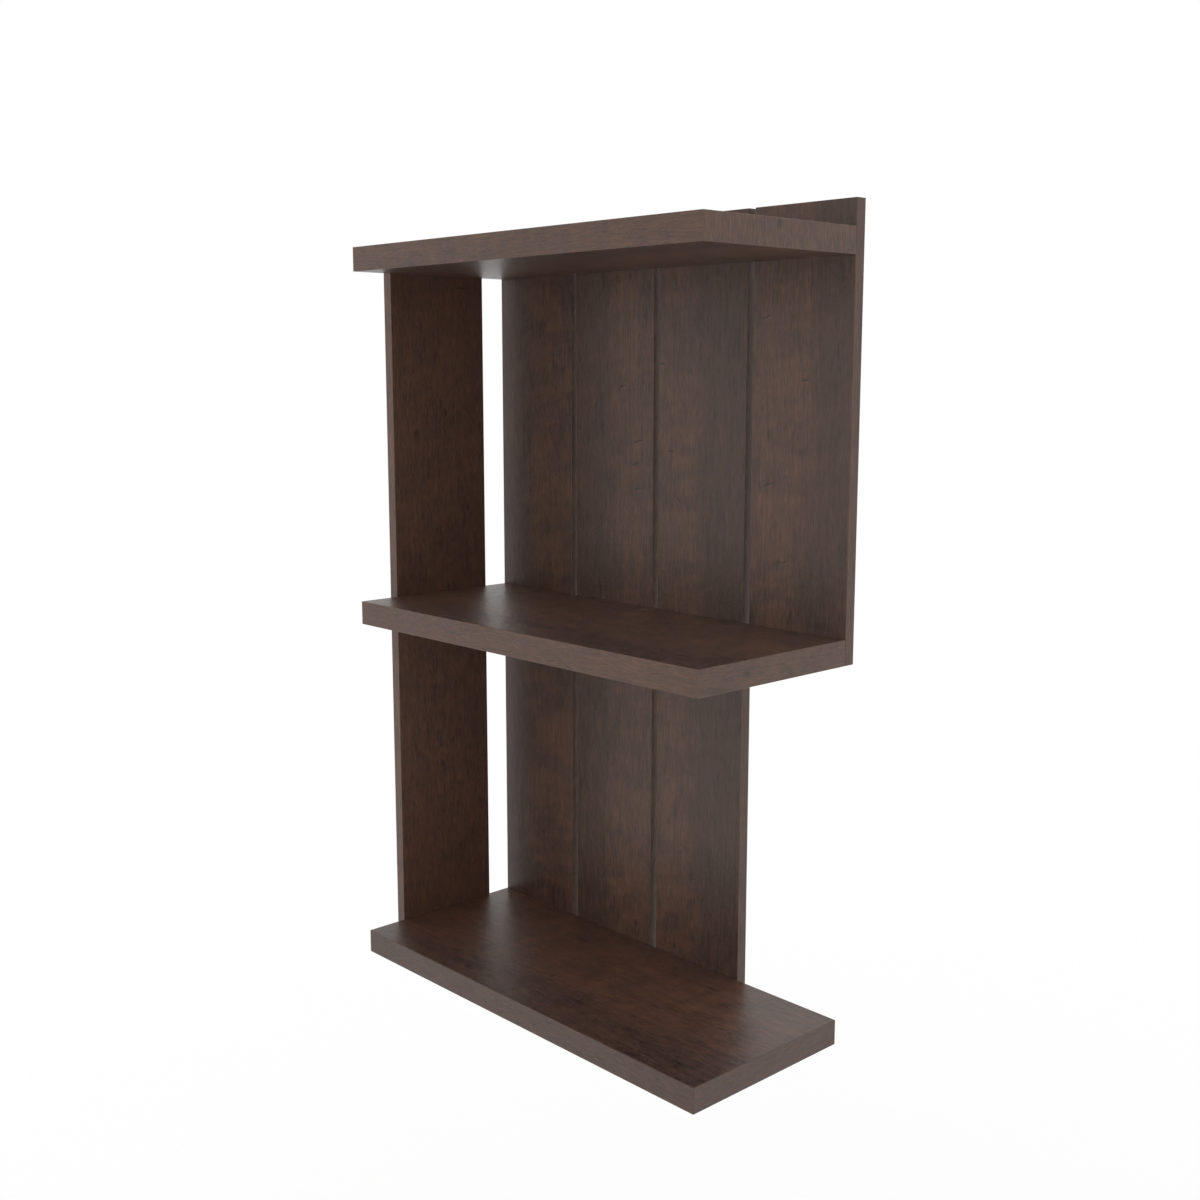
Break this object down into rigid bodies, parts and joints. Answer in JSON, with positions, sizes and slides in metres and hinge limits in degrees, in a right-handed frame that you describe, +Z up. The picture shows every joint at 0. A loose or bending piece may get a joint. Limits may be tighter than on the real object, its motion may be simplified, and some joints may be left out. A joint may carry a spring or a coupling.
{
  "type": "wall shelf",
  "caption": "Open wall shelf in dark walnut veneer: thick shelves screwed to a back of spaced upright planks and a side plank, hung on keyhole plates.",
  "frame": {"origin": "midway between the centres of the two keyhole entry holes, on the wall plane that the planks' backs lie in", "axes": "+Z up, +Y into the wall, +X to the right seen from the front; the front of the shelf faces -Y"},
  "size_m": [0.5207, 0.2159, 0.8128],
  "materials": {
    "shelf_veneer": "dark walnut veneer, satin lacquer",
    "edge_band": "dark walnut edge veneer, satin lacquer",
    "plank_veneer": "dark walnut veneer, satin lacquer",
    "zinc_screw": "zinc plated",
    "beech_dowel": "bare fluted beech",
    "screw_cap": "dark brown moulded cap",
    "hanger_steel": "zinc plated pressed plate"
  },
  "bodies": {
    "root": {"bottom_shelf": "shelf_veneer", "middle_shelf": "shelf_veneer", "top_shelf": "shelf_veneer", "bottom_shelf_front_band": "edge_band", "bottom_shelf_rear_band": "edge_band", "bottom_shelf_left_band": "edge_band", "bottom_shelf_right_band": "edge_band", "middle_shelf_front_band": "edge_band", "middle_shelf_rear_band": "edge_band", "middle_shelf_left_band": "edge_band", "middle_shelf_right_band": "edge_band", "top_shelf_front_band": "edge_band", "top_shelf_rear_band": "edge_band", "top_shelf_left_band": "edge_band", "top_shelf_right_band": "edge_band", "left_back_plank": "plank_veneer", "left_centre_back_plank": "plank_veneer", "right_centre_back_plank": "plank_veneer", "right_back_plank": "plank_veneer", "side_plank": "plank_veneer", "bottom_shelf_screws": "zinc_screw", "middle_shelf_screws": "zinc_screw", "top_shelf_screws": "zinc_screw", "side_plank_screws": "zinc_screw", "bottom_shelf_dowels": "beech_dowel", "middle_shelf_dowels": "beech_dowel", "top_shelf_dowels": "beech_dowel", "side_plank_dowels": "beech_dowel", "side_plank_screw_caps": "screw_cap", "left_hanger": "hanger_steel", "right_hanger": "hanger_steel", "hanger_plate_screws": "zinc_screw"}
  },
  "joints": []
}
